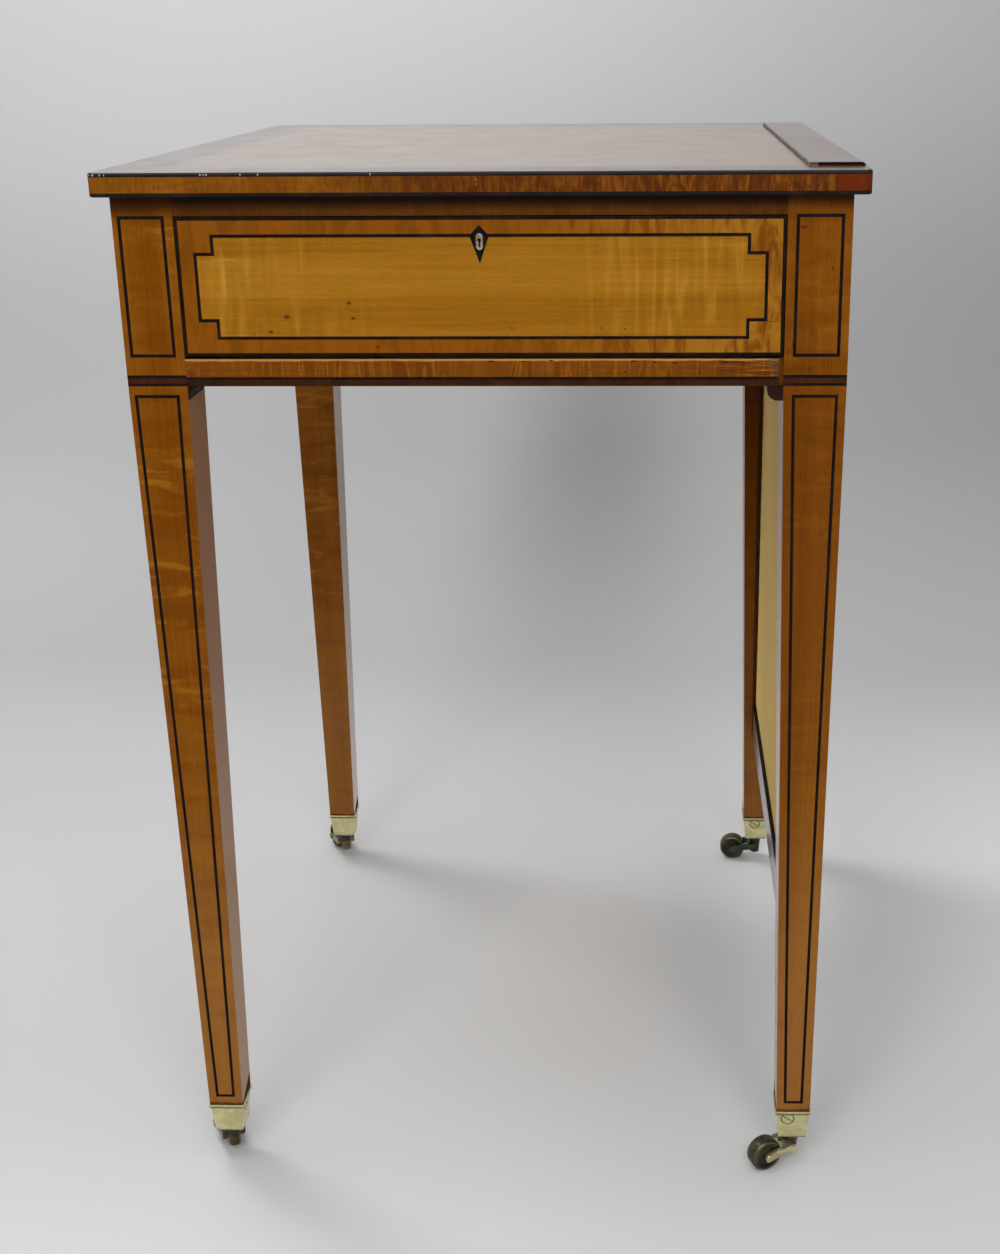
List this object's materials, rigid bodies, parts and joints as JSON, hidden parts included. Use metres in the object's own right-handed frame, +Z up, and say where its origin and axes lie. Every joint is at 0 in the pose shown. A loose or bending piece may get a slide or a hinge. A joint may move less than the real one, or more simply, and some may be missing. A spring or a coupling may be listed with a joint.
{
  "type": "writing table",
  "caption": "Small writing table on tapered castored legs, with a drawer in one end and a rising fire screen between the legs of one side.",
  "frame": {"origin": "on the floor under the middle of the top", "axes": "+X from the sitting side to the fire screen, +Y from the drawer end to the far end, +Z up"},
  "size_m": [0.49, 0.5495, 0.752],
  "materials": {
    "satinwood": "polished veneer",
    "satinwood_crossband": "polished veneer",
    "ebony": "polished",
    "rosewood": "polished",
    "mahogany": "waxed",
    "oak": "bare",
    "brass": "aged polish",
    "brass_patinated": "dark patina",
    "nickel": "dull",
    "steel": "dull",
    "silk": "stretched silk"
  },
  "bodies": {
    "frame": {"apron_beads": "rosewood", "apron_lines": "ebony", "back_rail": "satinwood", "bracket_left": "rosewood", "bracket_right": "rosewood", "castor_cup_back_left": "brass", "castor_cup_back_right": "brass", "castor_cup_front_left": "brass", "castor_cup_front_right": "brass", "castor_screws": "brass", "drawer_runners": "oak", "end_low_rail": "satinwood", "end_top_rail": "satinwood", "leg_back_left": "satinwood", "leg_back_right": "satinwood", "leg_collars": "rosewood", "leg_front_left": "satinwood", "leg_front_right": "satinwood", "leg_stringing": "ebony", "side_rail_inner": "mahogany", "side_rail_left": "satinwood", "side_rail_outer": "satinwood", "top_board": "mahogany", "top_corner_blocks": "satinwood_crossband", "top_crossband": "satinwood_crossband", "top_edge_band": "satinwood_crossband", "top_edge_lines": "ebony", "top_veneer": "satinwood"},
    "drawer": {"drawer_front": "satinwood", "drawer_side_left": "mahogany", "drawer_side_right": "mahogany", "drawer_back": "mahogany", "drawer_bottom": "oak", "drawer_edge_line": "ebony", "drawer_panel_line": "ebony", "escutcheon": "ebony", "keyhole_liner": "nickel", "lock_case": "brass"},
    "bolt": {"lock_bolt": "steel"},
    "screen": {"screen_cap": "satinwood_crossband", "cap_lines": "ebony", "screen_stile_front": "satinwood", "screen_stile_back": "satinwood", "screen_top_rail": "satinwood", "screen_bottom_rail": "satinwood", "screen_bead": "ebony", "screen_fabric": "silk", "screen_springs": "steel"},
    "swivel_front_left": {"castor_horn_front_left": "brass_patinated", "castor_axle_front_left": "brass"},
    "roller_front_left": {"castor_wheel_front_left": "brass_patinated"},
    "swivel_front_right": {"castor_horn_front_right": "brass_patinated", "castor_axle_front_right": "brass"},
    "roller_front_right": {"castor_wheel_front_right": "brass_patinated"},
    "swivel_back_left": {"castor_horn_back_left": "brass_patinated", "castor_axle_back_left": "brass"},
    "roller_back_left": {"castor_wheel_back_left": "brass_patinated"},
    "swivel_back_right": {"castor_horn_back_right": "brass_patinated", "castor_axle_back_right": "brass"},
    "roller_back_right": {"castor_wheel_back_right": "brass_patinated"}
  },
  "joints": [
    {"name": "drawer_slide", "type": "slide", "parent": "frame", "child": "drawer", "axis": [0, -1, 0], "range_m": [0, 0.32]},
    {"name": "bolt_throw", "type": "slide", "parent": "drawer", "child": "bolt", "axis": [0, 0, 1], "range_m": [0, 0.006]},
    {"name": "screen_rise", "type": "slide", "parent": "frame", "child": "screen", "axis": [0, 0, 1], "range_m": [0, 0.4]},
    {"name": "castor_swivel_front_left", "type": "hinge", "parent": "frame", "child": "swivel_front_left", "pos_m": [-0.21715, -0.24365, 0.0265], "axis": [0, 0, 1], "continuous": true},
    {"name": "castor_roll_front_left", "type": "hinge", "parent": "swivel_front_left", "child": "roller_front_left", "pos_m": [-0.2289, -0.2233, 0.0126], "axis": [-0.866, -0.5, 0], "continuous": true},
    {"name": "castor_swivel_front_right", "type": "hinge", "parent": "frame", "child": "swivel_front_right", "pos_m": [0.21715, -0.24365, 0.0265], "axis": [0, 0, 1], "continuous": true},
    {"name": "castor_roll_front_right", "type": "hinge", "parent": "swivel_front_right", "child": "roller_front_right", "pos_m": [0.19621, -0.25432, 0.0126], "axis": [0.454, -0.891, 0], "continuous": true},
    {"name": "castor_swivel_back_left", "type": "hinge", "parent": "frame", "child": "swivel_back_left", "pos_m": [-0.21715, 0.24365, 0.0265], "axis": [0, 0, 1], "continuous": true},
    {"name": "castor_roll_back_left", "type": "hinge", "parent": "swivel_back_left", "child": "roller_back_left", "pos_m": [-0.2289, 0.264, 0.0126], "axis": [-0.866, -0.5, 0], "continuous": true},
    {"name": "castor_swivel_back_right", "type": "hinge", "parent": "frame", "child": "swivel_back_right", "pos_m": [0.21715, 0.24365, 0.0265], "axis": [0, 0, 1], "continuous": true},
    {"name": "castor_roll_back_right", "type": "hinge", "parent": "swivel_back_right", "child": "roller_back_right", "pos_m": [0.19366, 0.24447, 0.0126], "axis": [-0.0349, -0.9994, 0], "continuous": true}
  ]
}
